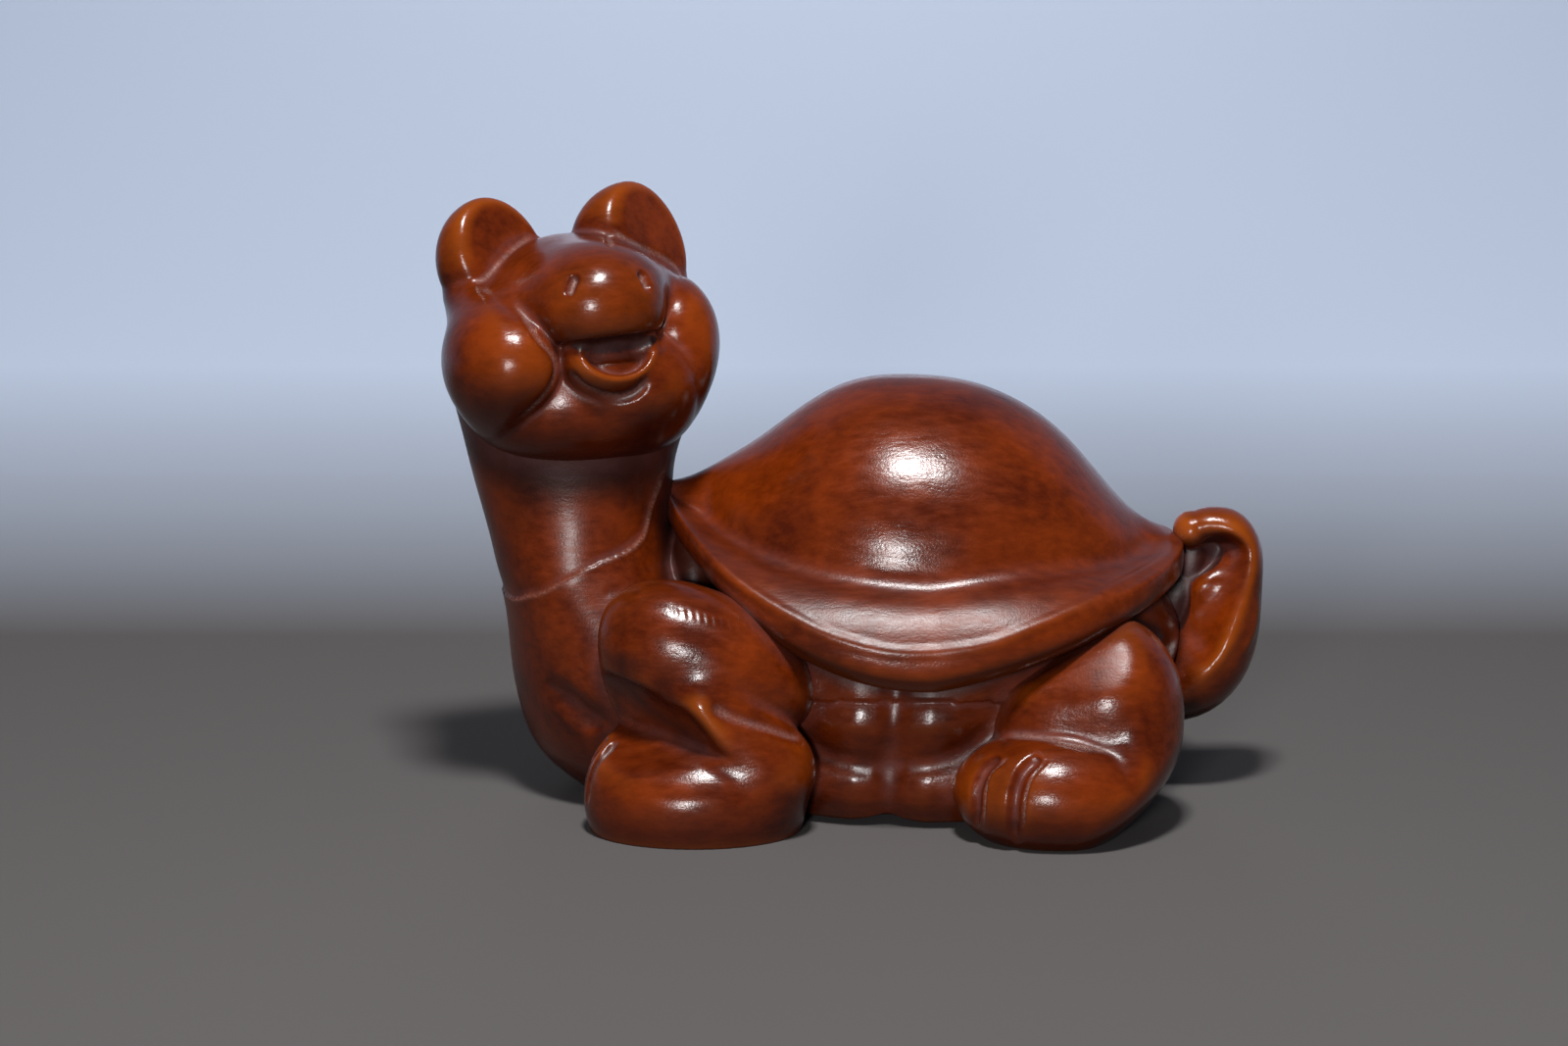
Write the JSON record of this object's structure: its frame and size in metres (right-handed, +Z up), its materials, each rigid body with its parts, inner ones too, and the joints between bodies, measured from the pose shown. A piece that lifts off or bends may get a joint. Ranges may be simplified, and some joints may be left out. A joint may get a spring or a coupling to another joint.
{
  "type": "carved turtle figurine",
  "caption": "Small turtle figurine carved from one block of polished boxwood: head raised and turned to its left, flared shell, folded legs and a curled tail.",
  "frame": {"origin": "centre of the figurine's footprint box, on the surface that it stands on", "axes": "+X towards the tail, so the turtle faces -X; +Y towards its right flank; +Z up"},
  "size_m": [0.065, 0.043, 0.0479],
  "materials": {
    "boxwood": "stained red-brown, waxed and hand polished, darker in the carved lines"
  },
  "bodies": {
    "root": {"carapace": "boxwood", "trunk": "boxwood", "plastron": "boxwood", "chest": "boxwood", "neck": "boxwood", "head": "boxwood", "snout": "boxwood", "left_cheek": "boxwood", "right_cheek": "boxwood", "left_ear": "boxwood", "right_ear": "boxwood", "lower_lip": "boxwood", "front_left_arm": "boxwood", "front_right_arm": "boxwood", "front_left_paw": "boxwood", "front_right_paw": "boxwood", "hind_left_thigh": "boxwood", "hind_right_thigh": "boxwood", "hind_left_foot": "boxwood", "hind_right_foot": "boxwood", "tail": "boxwood"}
  },
  "joints": []
}
